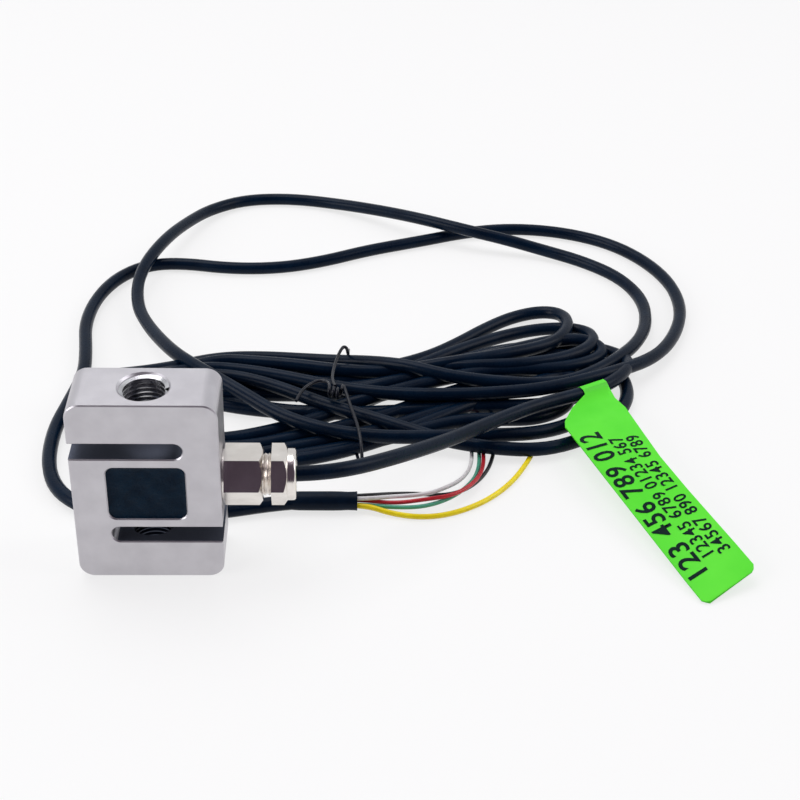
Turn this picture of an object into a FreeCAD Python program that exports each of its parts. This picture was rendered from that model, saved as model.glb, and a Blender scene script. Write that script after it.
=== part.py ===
"""S-type load cell with its cable gland, hank of signal cable and flag label.

The block stands on its lower face. The origin is the centre of that face, on the
axis of the two threaded holes. +X points out of the cable gland, +Y to the back,
+Z up the load axis. Lengths are in millimetres.
"""
import FreeCAD, Part
import math
import os

import Sketcher
from FreeCAD import Placement, Rotation, Vector

DOC = FreeCAD.newDocument("LoadCell")

SIZES = {
    # spring body
    "body_width": 36.0,
    "body_height": 51.2,
    "body_depth": 17.0,
    "corner_radius": 3.8,
    "edge_break": 0.3,
    "slot_height": 4.4,
    "slot_length": 27.2,
    "flexure": 2.6,
    "window_width": 19.0,
    "window_height": 15.2,
    "window_radius": 2.0,
    "thread_diameter": 12.0,
    "thread_mouth": 13.0,
    "port_diameter": 8.0,
    "port_depth": 5.5,
    "wire_hole": 4.4,
    # potting and what it covers
    "potting_recess": 0.6,
    "potting_depth": 4.0,
    "gauge_length": 5.0,
    "gauge_width": 3.5,
    "gauge_thickness": 0.15,
    "gauge_clearance": 0.3,
    "board_thickness": 1.0,
    "board_clearance": 0.9,
    "board_height": 9.0,
    "resistor_length": 1.6,
    "resistor_width": 0.8,
    "resistor_height": 0.6,
    "resistor_spread": 3.4,
    # cable gland
    "washer_thickness": 0.5,
    "washer_diameter": 12.6,
    "stub_length": 4.8,
    "hex_flats": 13.4,
    "hex_chamfer": 0.9,
    "gland_hex_length": 9.4,
    "neck_diameter": 10.0,
    "neck_length": 5.4,
    "neck_gap": 2.1,
    "gland_bore": 4.3,
    "seal_diameter": 7.5,
    "seal_length": 5.6,
    "ring_thickness": 0.6,
    "ring_diameter": 9.2,
    "nut_hex_length": 3.95,
    "collar_diameter": 12.9,
    "collar_length": 2.15,
    "collar_radius": 0.8,
    "nut_bore": 4.8,
    # cable and what is on it
    "cable_diameter": 4.1,
    "hank_height": 6.0,
    "hank_edge": 1.6,
    "channel_height": 2.6,
    "shrink_diameter": 5.2,
    "shrink_length": 18.0,
    "shrink_overhang": 4.6,
    "core_diameter": 1.15,
    "shield_diameter": 1.5,
    "inner_core_diameter": 1.0,
    "tie_diameter": 0.8,
    "tie_clearance": 0.4,
    "label_width": 17.0,
    "label_thickness": 0.4,
    "label_wrap": 9.0,
}

SHEET = DOC.addObject("Spreadsheet::Sheet", "Sizes")
for row, (alias, value) in enumerate(SIZES.items(), start=1):
    SHEET.set("A%d" % row, alias)
    SHEET.set("B%d" % row, str(value))
    SHEET.setAlias("B%d" % row, alias)
DOC.recompute()

SUB_PARTS = []
XY, XZ, YZ = "XY_Plane", "XZ_Plane", "YZ_Plane"


# ---------------------------------------------------------------- helpers
def cell(alias):
    """The present value of one named size."""
    return float(SHEET.get(alias))


def bind(thing, prop, expression):
    """Tie a property to the sheet. Names in braces are cells of the sheet."""
    thing.setExpression(prop, expression.replace("{", "Sizes.").replace("}", ""))


def worked_out(expression):
    """The number that an expression over the sheet gives now."""
    names = {alias: cell(alias) for alias in SIZES}
    return float(FreeCAD.Units.Quantity(expression.format(**names)).Value)


def keep(node, label):
    """Name a finished sub-part and put it on the list of those written out."""
    node.Label = label
    SUB_PARTS.append(node)
    return node


def new_body(label):
    """An empty PartDesign body that becomes the sub-part of that name."""
    return keep(DOC.addObject("PartDesign::Body", label), label)


def at_gland_axis(node):
    """Put a sub-part's own X axis on the gland's axis, at the block's side face."""
    bind(node, "Placement.Base.x", "{body_width} / 2")
    bind(node, "Placement.Base.z", "{body_height} / 2")


def plane_of(body, role):
    """One of the body's own origin planes."""
    for feature in body.Origin.OriginFeatures:
        if feature.Role == role:
            return feature
    raise ValueError(role)


def new_sketch(body, name, role, offsets):
    """A sketch on an origin plane, shifted in the plane's own x, y, z."""
    sketch = body.newObject("Sketcher::SketchObject", name)
    sketch.AttachmentSupport = [(plane_of(body, role), "")]
    sketch.MapMode = "FlatFace"
    for axis, expression in offsets.items():
        bind(sketch, "AttachmentOffset.Base." + axis, expression)
    return sketch


def hold(sketch, geometry, point, place):
    """Hold a sketch point at an (x, y) pair of expressions."""
    for kind, axis, expression in (("DistanceX", -2, place[0]), ("DistanceY", -1, place[1])):
        if expression == "0":
            sketch.addConstraint(Sketcher.Constraint("PointOnObject", geometry, point, axis))
            continue
        value = worked_out(expression)
        index = sketch.addConstraint(
            Sketcher.Constraint(kind, -1, 1, geometry, point, value))
        bind(sketch, "Constraints[%d]" % index, expression)


def outline(body, name, role, corners, offsets={}):
    """A closed sketch of straight lines whose corners are pairs of expressions."""
    sketch = new_sketch(body, name, role, offsets)
    spots = [Vector(worked_out(x), worked_out(y), 0) for x, y in corners]
    count = len(spots)
    for index in range(count):
        sketch.addGeometry(Part.LineSegment(spots[index], spots[(index + 1) % count]))
    for index in range(count):
        following = (index + 1) % count
        sketch.addConstraint(Sketcher.Constraint("Coincident", index, 2, following, 1))
    for index, place in enumerate(corners):
        hold(sketch, index, 1, place)
    return sketch


def ring(body, name, role, centre, diameters, offsets={}):
    """A sketch of one circle, or of two on the same centre."""
    sketch = new_sketch(body, name, role, offsets)
    middle = Vector(worked_out(centre[0]), worked_out(centre[1]), 0)
    for index, diameter in enumerate(diameters):
        circle = Part.Circle(middle, Vector(0, 0, 1), worked_out(diameter) / 2)
        sketch.addGeometry(circle)
        hold(sketch, index, 3, centre)
        number = sketch.addConstraint(
            Sketcher.Constraint("Diameter", index, worked_out(diameter)))
        bind(sketch, "Constraints[%d]" % number, diameter)
    return sketch


def rectangle(left, right, bottom, top):
    """The four corners of an upright rectangle."""
    return [(left, bottom), (right, bottom), (right, top), (left, top)]


def extrude(body, kind, name, sketch, length, both_sides=False, reverse=False):
    """A Pad or a Pocket of a sketch."""
    feature = body.newObject("PartDesign::" + kind, name)
    feature.Profile = sketch
    feature.Type = "Length"
    bind(feature, "Length", length)
    if both_sides:
        feature.SideType = "Symmetric"
    feature.Reversed = reverse
    return feature


def turn(body, kind, name, sketch, axis="H_Axis"):
    """A Revolution or a Groove of a sketch about one of its axes."""
    feature = body.newObject("PartDesign::" + kind, name)
    feature.Profile = sketch
    feature.ReferenceAxis = (sketch, [axis])
    feature.Angle = 360.0
    return feature


def dress(body, kind, name, base, prop, expression, chosen):
    """A Fillet or a Chamfer of the edges of the base for which chosen(edge) is true."""
    DOC.recompute()
    edges = ["Edge%d" % number for number, edge in enumerate(base.Shape.Edges, start=1)
             if chosen(edge)]
    if not edges:
        raise ValueError("no edges for " + name)
    feature = body.newObject("PartDesign::" + kind, name)
    feature.Base = (base, edges)
    bind(feature, prop, expression)
    return feature


def along_y(edge, x_places, z_places, slack=1e-4):
    """True for an edge that runs along Y through one of the given places."""
    first, last = edge.Vertexes[0].Point, edge.Vertexes[-1].Point
    if abs(first.x - last.x) > slack or abs(first.z - last.z) > slack:
        return False
    on_x = any(abs(first.x - x) < slack for x in x_places)
    return on_x and any(abs(first.z - z) < slack for z in z_places)


def in_plane_y(edge, place, slack=1e-4):
    """True for an edge that lies in the plane of that Y."""
    box = edge.BoundBox
    return abs(box.YMin - place) < slack and abs(box.YMax - place) < slack


def rounded_route(points, closed=False):
    """Straight runs joined by tangent arcs. Gives the wire and the smallest radius."""
    count = len(points)
    turns = []
    numbers = range(count) if closed else range(1, count - 1)
    smallest = math.inf
    for number in numbers:
        before, corner = points[number - 1], points[number]
        after = points[(number + 1) % count]
        inwards, outwards = corner - before, after - corner
        reach = 0.45 * min(inwards.Length, outwards.Length)
        angle = inwards.getAngle(outwards)
        radius = reach / math.tan(angle / 2)
        smallest = min(smallest, radius)
        inwards.normalize()
        outwards.normalize()
        start, end = corner - inwards * reach, corner + outwards * reach
        towards = outwards - inwards
        towards.normalize()
        middle = corner + towards * (radius / math.cos(angle / 2) - radius)
        turns.append((start, middle, end))
    edges = []
    place = turns[-1][2] if closed else points[0]
    for start, middle, end in turns:
        edges.append(Part.LineSegment(place, start).toShape())
        edges.append(Part.Arc(start, middle, end).toShape())
        place = end
    if not closed:
        edges.append(Part.LineSegment(place, points[-1]).toShape())
    return Part.Wire(edges), smallest


def tube(label, route, diameter):
    """A round cord along a route of (x, y, z) points."""
    points = [Vector(*point) for point in route]
    wire, smallest = rounded_route(points)
    section = Part.Wire(Part.Circle(points[0], points[1] - points[0], diameter / 2).toShape())
    solid = wire.makePipeShell([section], True, False)
    if solid.Volume < 0:
        solid.reverse()
    area = math.pi * diameter ** 2 / 4
    print("%-22s length %7.1f  least radius %5.1f = %4.1f diameters  volume %.4f of section x length"
          % (label, wire.Length, smallest, smallest / diameter, solid.Volume / (area * wire.Length)))
    return solid


def shaped(label, shape):
    """A sub-part whose shape is made with Part's own functions."""
    node = keep(DOC.addObject("Part::Feature", label), label)
    node.Shape = shape
    return node


# ---------------------------------------------------------------- spring body
SLAB = "(({body_height} - {window_height}) / 2 - {flexure} - {slot_height})"
HALF_WIDTH = "{body_width} / 2"
HALF_HEIGHT = "{body_height} / 2"
HALF_WINDOW = "{window_width} / 2"


def build_spring_body():
    """The S-shaped block: two opposed slots, a window between two pairs of flexures."""
    body = new_body("spring_body")
    block = extrude(
        body, "Pad", "Block",
        outline(body, "BlockOutline", XZ,
                rectangle("-" + HALF_WIDTH, HALF_WIDTH, "0", "{body_height}")),
        "{body_depth}", both_sides=True)
    through = "{body_depth} + 2"
    slot_end = HALF_WIDTH + " - {slot_length} + {slot_height} / 2"
    lower, upper = SLAB, SLAB + " + {slot_height}"
    middle = SLAB + " + {slot_height} / 2"
    slots = (
        ("Lower", slot_end, HALF_WIDTH + " + 1", lower, upper, middle),
        ("Upper", "-(" + HALF_WIDTH + ") - 1", "-(" + slot_end + ")",
         "{body_height} - " + SLAB + " - {slot_height}", "{body_height} - " + SLAB,
         "{body_height} - " + SLAB + " - {slot_height} / 2"),
    )
    for name, left, right, bottom, top, centre in slots:
        extrude(body, "Pocket", name + "Slot",
                outline(body, name + "SlotOutline", XZ, rectangle(left, right, bottom, top)),
                through, both_sides=True)
        end = left if name == "Lower" else right
        extrude(body, "Pocket", name + "SlotEnd",
                ring(body, name + "SlotEndCircle", XZ, (end, centre), ["{slot_height}"]),
                through, both_sides=True)
    low_sill = HALF_HEIGHT + " - {window_height} / 2"
    high_sill = HALF_HEIGHT + " + {window_height} / 2"
    window = extrude(
        body, "Pocket", "Window",
        outline(body, "WindowOutline", XZ,
                rectangle("-" + HALF_WINDOW, HALF_WINDOW, low_sill, high_sill)),
        through, both_sides=True)

    half, height = cell("body_width") / 2, cell("body_height")
    corners = dress(body, "Fillet", "OuterCorners", window, "Radius", "{corner_radius}",
                    lambda edge: along_y(edge, (-half, half), (0, height)))
    inside = cell("window_width") / 2
    sills = (worked_out(low_sill), worked_out(high_sill))
    corners = dress(body, "Fillet", "WindowCorners", corners, "Radius", "{window_radius}",
                    lambda edge: along_y(edge, (-inside, inside), sills))
    face = cell("body_depth") / 2
    dress(body, "Chamfer", "EdgeBreak", corners, "Size", "{edge_break}",
          lambda edge: in_plane_y(edge, face) or in_plane_y(edge, -face))

    mouth, bore = "{thread_mouth} / 2", "{thread_diameter} / 2"
    flare = "({thread_mouth} - {thread_diameter}) / 2"
    for name, outer, inner, inwards in (
            ("Lower", "0", SLAB, "+"),
            ("Upper", "{body_height}", "{body_height} - " + SLAB, "-")):
        lip = flare if outer == "0" else outer + inwards + flare
        profile = outline(body, name + "ThreadProfile", XZ,
                          [("0", outer), (mouth, outer), (bore, lip), (bore, inner), ("0", inner)])
        turn(body, "Groove", name + "Thread", profile, "V_Axis")

    port = outline(
        body, "PortProfile", XZ,
        [(HALF_WIDTH, "0"), (HALF_WIDTH, "{port_diameter} / 2"),
         (HALF_WIDTH + " - {port_depth}", "{port_diameter} / 2"),
         (HALF_WIDTH + " - {port_depth}", "{wire_hole} / 2"),
         (HALF_WINDOW, "{wire_hole} / 2"), (HALF_WINDOW, "0")],
        {"y": HALF_HEIGHT})
    body.Tip = turn(body, "Groove", "CablePort", port)
    return body


# ---------------------------------------------------------------- inside the window
def build_potting(label, side):
    """One pour of sealing compound, level with its own side of the window."""
    body = new_body(label)
    low = HALF_HEIGHT + " - {window_height} / 2"
    high = HALF_HEIGHT + " + {window_height} / 2"
    outer_face = "{body_depth} / 2 - {potting_recess}"
    shift = outer_face if side < 0 else "-(" + outer_face + ")"
    plate = extrude(
        body, "Pad", "Pour",
        outline(body, "PourOutline", XZ,
                rectangle("-" + HALF_WINDOW, HALF_WINDOW, low, high), {"z": shift}),
        "{potting_depth}", reverse=side < 0)
    inside = cell("window_width") / 2
    body.Tip = dress(body, "Fillet", "PourCorners", plate, "Radius", "{window_radius}",
                     lambda edge: along_y(edge, (-inside, inside),
                                          (worked_out(low), worked_out(high))))
    return body


def build_gauge(label, side, level):
    """A foil strain gauge, bonded to the window's upper or lower wall."""
    body = new_body(label)
    outer = "(" + HALF_WINDOW + " - {window_radius} - {gauge_clearance})"
    inner = "(" + outer + " - {gauge_length})"
    left, right = (inner, outer) if side > 0 else ("-" + outer, "-" + inner)
    wall = HALF_HEIGHT + " + {window_height} / 2" if level > 0 \
        else HALF_HEIGHT + " - {window_height} / 2"
    foil = outline(
        body, "FoilOutline", XY,
        rectangle(left, right, "-{gauge_width} / 2", "{gauge_width} / 2"),
        {"z": wall})
    body.Tip = extrude(body, "Pad", "Foil", foil, "{gauge_thickness}", reverse=level > 0)
    return body


def build_board():
    """The terminal board, bonded to the window's blind side wall."""
    body = new_body("terminal_board")
    half_width = "({body_depth} / 2 - {potting_recess} - {potting_depth} - {board_clearance})"
    face = outline(
        body, "BoardOutline", YZ,
        rectangle("-" + half_width, half_width,
                  HALF_HEIGHT + " - {board_height} / 2", HALF_HEIGHT + " + {board_height} / 2"),
        {"z": "-" + HALF_WINDOW})
    body.Tip = extrude(body, "Pad", "Board", face, "{board_thickness}")
    return body


def build_resistor(label, side):
    """A trimming resistor on the terminal board."""
    node = keep(DOC.addObject("Part::Box", label), label)
    sign = "+" if side > 0 else "-"
    bind(node, "Length", "{resistor_height}")
    bind(node, "Width", "{resistor_width}")
    bind(node, "Height", "{resistor_length}")
    bind(node, "Placement.Base.x", "-" + HALF_WINDOW + " + {board_thickness}")
    bind(node, "Placement.Base.y", "-{resistor_width} / 2")
    bind(node, "Placement.Base.z",
         HALF_HEIGHT + " " + sign + " {resistor_spread} - {resistor_length} / 2")
    return node


def build_inner_core(label, side, level, lead):
    """One core of the cable, from the stripped end in the gland to the terminal board."""
    diameter = cell("inner_core_diameter")
    spread = 0.62 * diameter
    axis = cell("body_height") / 2
    start = cell("body_width") / 2 - cell("port_depth") + 0.3
    mouth = cell("window_width") / 2
    board = -cell("window_width") / 2 + cell("board_thickness")
    bunch = (side * spread, axis + level * spread)
    fan = (side * 1.5 * diameter, axis + level * 1.9 * diameter)
    route = [(start, *bunch), (mouth, *bunch), (mouth - 6, side * spread * 1.6, axis + level),
             (board + 5, *fan), (board, *fan)]
    return shaped(label, tube(label, route, diameter).cut(lead))


# ---------------------------------------------------------------- cable gland
HEX_START = "{washer_thickness}"
HEX_END = "{washer_thickness} + {gland_hex_length}"
NECK_END = HEX_END + " + {neck_length}"
SEAL_START = NECK_END + " + 0.1 - {seal_length}"
SEAL_END = NECK_END + " + 0.1"
RING_END = SEAL_END + " + {ring_thickness}"
NUT_START = HEX_END + " + {neck_gap}"
NUT_END = NUT_START + " + {nut_hex_length}"
COLLAR_END = NUT_END + " + {collar_length}"
TIP_RADIUS = "{hex_flats} / sqrt(3)"


def add_hexagon(body, start, length):
    """The hexagon of a gland piece, with a flat on top, and its bevelled outer end."""
    radius, half = TIP_RADIUS, "{hex_flats} / 2"
    corners = [(radius, "0"), (radius + " / 2", half), ("-" + radius + " / 2", half),
               ("-" + radius, "0"), ("-" + radius + " / 2", "-" + half),
               (radius + " / 2", "-" + half)]
    hexagon = outline(body, "Hexagon", YZ, corners, {"z": start})
    extrude(body, "Pad", "HexagonPad", hexagon, length)
    end = start + " + " + length
    bevel = outline(
        body, "BevelProfile", XY,
        [(end, half + " - 0.2"), (end, radius + " + 1"), (end + " - {hex_chamfer}", radius + " + 1"),
         (end + " - {hex_chamfer}", radius)])
    return turn(body, "Groove", "Bevel", bevel)


def build_gland_washer():
    """The sealing washer between the gland and the block."""
    body = new_body("gland_washer")
    at_gland_axis(body)
    face = ring(body, "WasherCircles", YZ, ("0", "0"), ["{washer_diameter}", "{port_diameter}"])
    body.Tip = extrude(body, "Pad", "Washer", face, "{washer_thickness}")
    return body


def build_gland_body():
    """Hexagon, threaded neck and threaded stub in one turned piece, bored for the cable."""
    body = new_body("gland_body")
    at_gland_axis(body)
    add_hexagon(body, HEX_START, "{gland_hex_length}")
    neck = ring(body, "NeckCircle", YZ, ("0", "0"), ["{neck_diameter}"], {"z": HEX_END})
    extrude(body, "Pad", "Neck", neck, "{neck_length}")
    stub = ring(body, "StubCircle", YZ, ("0", "0"), ["{port_diameter}"], {"z": HEX_START})
    extrude(body, "Pad", "Stub", stub, "{stub_length} + {washer_thickness}", reverse=True)
    bore, seat = "{gland_bore} / 2", "{seal_diameter} / 2"
    profile = outline(
        body, "BoreProfile", XY,
        [("-{stub_length}", "0"), ("-{stub_length}", bore), (SEAL_START, bore),
         (SEAL_START, seat), (NECK_END, seat), (NECK_END, "0")])
    body.Tip = turn(body, "Groove", "Bore", profile)
    return body


def build_gland_seal():
    """The rubber sleeve that the nut squeezes on to the cable."""
    body = new_body("gland_seal")
    at_gland_axis(body)
    face = ring(body, "SealCircles", YZ, ("0", "0"), ["{seal_diameter}", "{cable_diameter}"],
                {"z": SEAL_START})
    body.Tip = extrude(body, "Pad", "Seal", face, "{seal_length}")
    return body


def build_gland_ring():
    """The slip ring between the nut and the rubber sleeve."""
    body = new_body("gland_slip_ring")
    at_gland_axis(body)
    face = ring(body, "RingCircles", YZ, ("0", "0"), ["{ring_diameter}", "{nut_bore}"],
                {"z": SEAL_END})
    body.Tip = extrude(body, "Pad", "SlipRing", face, "{ring_thickness}")
    return body


def build_gland_nut():
    """The hexagon nut with its round collar, hollow for the neck."""
    body = new_body("gland_nut")
    at_gland_axis(body)
    add_hexagon(body, NUT_START, "{nut_hex_length}")
    collar = ring(body, "CollarCircle", YZ, ("0", "0"), ["{collar_diameter}"], {"z": NUT_END})
    pad = extrude(body, "Pad", "Collar", collar, "{collar_length}")
    end = worked_out(COLLAR_END)
    dress(body, "Fillet", "CollarEdge", pad, "Radius", "{collar_radius}",
          lambda edge: abs(edge.BoundBox.XMin - end) < 1e-4 and abs(edge.BoundBox.XMax - end) < 1e-4)
    thread, bore = "{neck_diameter} / 2", "{nut_bore} / 2"
    profile = outline(
        body, "HollowProfile", XY,
        [(NUT_START, "0"), (NUT_START, thread), (RING_END, thread), (RING_END, bore),
         (COLLAR_END, bore), (COLLAR_END, "0")])
    body.Tip = turn(body, "Groove", "Hollow", profile)
    return body


# ---------------------------------------------------------------- cable and what is on it
# The cable runs from the gland to the hank, round the inner loop, through the hank again,
# round the outer loop and along the block's back to its stripped end.
LEAD_ROUTE = [
    (12.5, 0.0, 25.55), (22.0, 0.0, 25.6), (38.5, 0.0, 25.6), (49.0, 3.5, 24.6),
    (58.5, 11.2, 22.0), (67.2, 20.8, 18.2), (76.0, 31.0, 14.4), (85.0, 41.4, 10.9),
    (94.0, 51.0, 9.1), (105.0, 58.6, 8.8), (118.5, 64.6, 8.4), (130.5, 69.5, 5.6)]
INNER_LOOP_ROUTE = [
    (114.0, 78.5, 3.9), (125.5, 82.6, 3.9), (135.0, 90.5, 3.9), (142.5, 103.0, 3.2),
    (147.0, 118.0, 2.1), (147.4, 132.5, 2.1), (142.0, 146.0, 2.1), (131.0, 157.0, 2.1),
    (118.0, 164.0, 2.8), (105.0, 167.0, 5.3), (92.0, 170.2, 7.0), (75.5, 179.2, 7.0),
    (62.0, 190.0, 4.6), (47.0, 199.5, 2.4), (29.5, 204.2, 2.1), (12.5, 202.8, 2.1),
    (0.5, 193.5, 2.6), (-6.0, 180.0, 4.6), (-11.8, 163.5, 7.0), (-17.0, 146.5, 7.0),
    (-18.9, 133.0, 4.2), (-17.0, 120.5, 2.3), (-11.5, 108.0, 2.4), (-4.5, 96.5, 3.6),
    (4.5, 86.5, 3.9)]
OUTER_LOOP_ROUTE = [
    (115.5, 70.5, 3.9), (127.0, 75.0, 3.9), (138.0, 82.5, 3.9), (147.5, 94.5, 3.2),
    (155.3, 108.5, 2.3), (159.6, 124.0, 2.1), (159.3, 141.0, 2.1), (153.0, 158.0, 2.1),
    (142.0, 171.5, 2.1), (126.0, 179.5, 2.1), (108.5, 181.8, 2.1), (92.0, 178.4, 2.1),
    (75.0, 171.0, 2.1), (57.0, 164.0, 2.1), (41.5, 155.5, 2.1), (26.5, 150.4, 2.1),
    (10.0, 149.8, 2.1), (-6.5, 153.4, 2.1), (-18.0, 151.8, 2.1), (-27.0, 142.5, 2.1),
    (-32.2, 128.0, 2.1), (-33.4, 112.0, 2.1), (-31.8, 96.0, 2.1), (-31.2, 81.0, 2.1),
    (-33.0, 66.0, 2.1), (-34.4, 51.0, 2.1), (-33.2, 36.5, 2.1), (-29.0, 24.5, 2.1),
    (-20.5, 16.6, 2.1), (-8.5, 14.0, 2.1), (4.5, 13.9, 2.1), (16.5, 15.5, 2.1),
    (26.8, 17.9, 2.3), (36.9, 19.3, 2.6), (47.0, 19.4, 2.6)]
HANK_OUTLINE = [
    (-23.0, 25.8), (-9.0, 20.6), (7.0, 21.0), (20.5, 26.6), (32.0, 34.6), (44.0, 40.4),
    (58.0, 42.2), (75.0, 41.8), (91.0, 41.2), (106.0, 42.6), (117.5, 47.0), (126.5, 54.5),
    (134.0, 65.0), (138.3, 77.0), (136.8, 89.5), (131.5, 100.5), (126.0, 111.5),
    (118.0, 121.5), (107.5, 121.5), (95.5, 113.0), (83.0, 103.5), (71.5, 95.0), (58.5, 90.4),
    (45.0, 90.0), (32.0, 93.6), (18.0, 96.6), (2.0, 96.2), (-12.0, 92.0), (-22.0, 82.0),
    (-28.2, 67.5), (-31.2, 51.0), (-29.6, 36.5)]
CHANNEL = ((78.5, 30.0), (103.0, 102.0))
TIE_PLACE = 46.0

# Each core leaves the shrink sleeve at its own place in the bundle and runs under the hank.
CORE_ROUTES = {
    "core_black": [
        (46.8, 20.27, 3.35), (54.3, 20.6, 3.55), (60.9, 23.8, 1.7), (68.0, 25.4, 0.62),
        (75.5, 24.4, 0.62), (82.0, 27.4, 0.62), (87.6, 34.5, 0.62), (90.6, 44.0, 0.62),
        (92.0, 56.0, 0.62), (91.2, 70.0, 0.62), (92.6, 84.0, 0.62), (92.2, 95.0, 0.62)],
    "core_white": [
        (46.8, 18.97, 3.55), (53.5, 19.05, 3.6), (61.0, 20.4, 3.3), (70.0, 22.4, 2.5),
        (76.0, 26.2, 2.4), (80.0, 31.8, 1.6), (81.8, 39.5, 0.75), (82.2, 50.0, 0.62),
        (81.0, 62.0, 0.62), (81.6, 74.0, 0.62)],
    "core_green": [
        (46.8, 19.62, 1.35), (54.0, 19.45, 1.28), (61.8, 17.5, 1.8), (70.0, 17.8, 1.9),
        (77.0, 22.4, 1.95), (81.6, 29.2, 1.85), (83.8, 37.5, 0.9), (84.6, 48.5, 0.62),
        (84.0, 61.0, 0.62), (85.0, 74.0, 0.62), (84.8, 86.0, 0.62)],
    "core_red": [
        (46.8, 20.62, 2.15), (54.0, 20.4, 2.1), (61.5, 18.8, 2.2), (70.0, 19.6, 3.0),
        (78.0, 21.2, 3.3), (84.2, 28.2, 2.65), (87.1, 37.0, 1.45), (87.8, 47.5, 0.62),
        (87.2, 60.0, 0.62), (88.4, 73.5, 0.62), (88.0, 88.0, 0.62), (89.2, 97.5, 0.62)],
    "core_yellow": [
        (46.8, 18.45, 2.08), (54.0, 18.25, 2.05), (60.5, 16.0, 1.0), (68.5, 14.5, 0.8),
        (77.0, 16.2, 0.8), (85.5, 22.2, 0.8), (92.4, 31.0, 0.8), (96.9, 41.5, 0.8),
        (98.8, 54.0, 0.8), (98.2, 66.5, 0.8)],
}
LABEL_END = (Vector(138.0, -20.0, 0.35), Vector(152.0, -12.6, 5.7))


def prism(points, height):
    """A closed rounded outline, raised from the standing surface."""
    wire, smallest = rounded_route(points, closed=True)
    return Part.Face(wire).extrude(Vector(0, 0, height)), smallest


def hank_block():
    """The outer shape of the tied hank, flat below and eased round its top edge."""
    block, smallest = prism([Vector(x, y, 0) for x, y in HANK_OUTLINE], cell("hank_height"))
    top = [edge for edge in block.Edges
           if edge.BoundBox.ZMin > cell("hank_height") - 1e-4]
    return block.makeChamfer(min(cell("hank_edge"), smallest / 2), top)


def build_tie(hank):
    """The wire tie: one band round the hank's waist, let into its underside."""
    across = cell("tie_diameter")
    slice_box = hank.common(
        Part.makeBox(across, 200, 50, Vector(TIE_PLACE - across / 2, 0, -1))).BoundBox
    inner = Part.makeBox(
        across, slice_box.YLength - 2 * across, cell("hank_height") - across,
        Vector(TIE_PLACE - across / 2, slice_box.YMin + across, across))
    outer = Part.makeBox(
        across, slice_box.YLength, cell("hank_height") + across,
        Vector(TIE_PLACE - across / 2, slice_box.YMin, 0))
    rounding = cell("hank_edge") + across
    edges = [edge for edge in outer.Edges
             if edge.BoundBox.XLength > across / 2 and edge.BoundBox.ZMin > across]
    outer = outer.makeFillet(rounding, edges)
    inner_edges = [edge for edge in inner.Edges
                   if edge.BoundBox.XLength > across / 2 and edge.BoundBox.ZMin > 2 * across]
    inner = inner.makeFillet(rounding - across / 2, inner_edges)
    return outer.cut(inner)


def build_label(lead):
    """The folded label: a sleeve round the lead and a stiff flag down to the surface."""
    first, last = Vector(*LEAD_ROUTE[-3]), Vector(*LEAD_ROUTE[-2])
    along = last - first
    along.normalize()
    middle = (first + last) / 2
    radius, wall = cell("cable_diameter") / 2, cell("label_thickness")
    wrap = cell("label_wrap")
    base = middle - along * (wrap / 2)
    sleeve = Part.makeCylinder(radius + wall, wrap, base, along)
    level = Vector(along.x, along.y, 0)
    level.normalize()
    forward = Vector(level.y, -level.x, 0)
    root = middle + forward * (radius + wall / 2)
    half = cell("label_width") / 2
    sections = []
    end_width = LABEL_END[1] - LABEL_END[0]
    end_width.normalize()
    end_middle = (LABEL_END[0] + LABEL_END[1]) / 2
    for centre, across in ((root, level), (end_middle, end_width)):
        thick = across.cross(end_middle - root)
        thick.normalize()
        thick = thick * (wall / 2)
        side = across * half
        corners = [centre - side - thick, centre + side - thick,
                   centre + side + thick, centre - side + thick]
        sections.append(Part.makePolygon(corners + corners[:1]))
    flag = Part.makeLoft(sections, True, True)
    return sleeve.fuse(flag).cut(lead)


def build_cable():
    """The cable in its stretches, the hank, and the pieces that are on it."""
    diameter = cell("cable_diameter")
    tie_and_hank = hank_block()
    (x_low, y_low), (x_high, y_high) = CHANNEL
    tie_and_hank = tie_and_hank.cut(Part.makeBox(
        x_high - x_low, y_high - y_low, cell("channel_height"), Vector(x_low, y_low, 0)))
    tie = build_tie(tie_and_hank)
    hank = tie_and_hank.cut(tie)
    shaped("cable_hank", hank)
    shaped("wire_tie", tie)

    stretches = {label: tube(label, route, diameter)
                 for label, route in (("cable_lead", LEAD_ROUTE),
                                      ("cable_inner_loop", INNER_LOOP_ROUTE),
                                      ("cable_outer_loop", OUTER_LOOP_ROUTE))}
    for label, stretch in stretches.items():
        shaped(label, stretch.cut(hank))
    shaped("flag_label", build_label(stretches["cable_lead"]))

    for colour, side, level in (("red", 1, 1), ("black", -1, 1),
                                ("green", 1, -1), ("white", -1, -1)):
        build_inner_core("inner_core_" + colour, side, level, stretches["cable_lead"])

    tail = stretches["cable_outer_loop"]
    end, before = Vector(*OUTER_LOOP_ROUTE[-1]), Vector(*OUTER_LOOP_ROUTE[-2])
    along = end - before
    along.normalize()
    length, beyond = cell("shrink_length"), cell("shrink_overhang")
    start = end - along * (length - beyond)
    sleeve = Part.makeCylinder(cell("shrink_diameter") / 2, length, start, along)
    mouth = Part.makeCylinder(diameter / 2, beyond, end, along)
    shaped("heat_shrink_sleeve", sleeve.cut(tail).cut(mouth))
    for label, route in CORE_ROUTES.items():
        across = cell("shield_diameter" if label == "core_yellow" else "core_diameter")
        shaped(label, tube(label, route, across).cut(tail))


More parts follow.
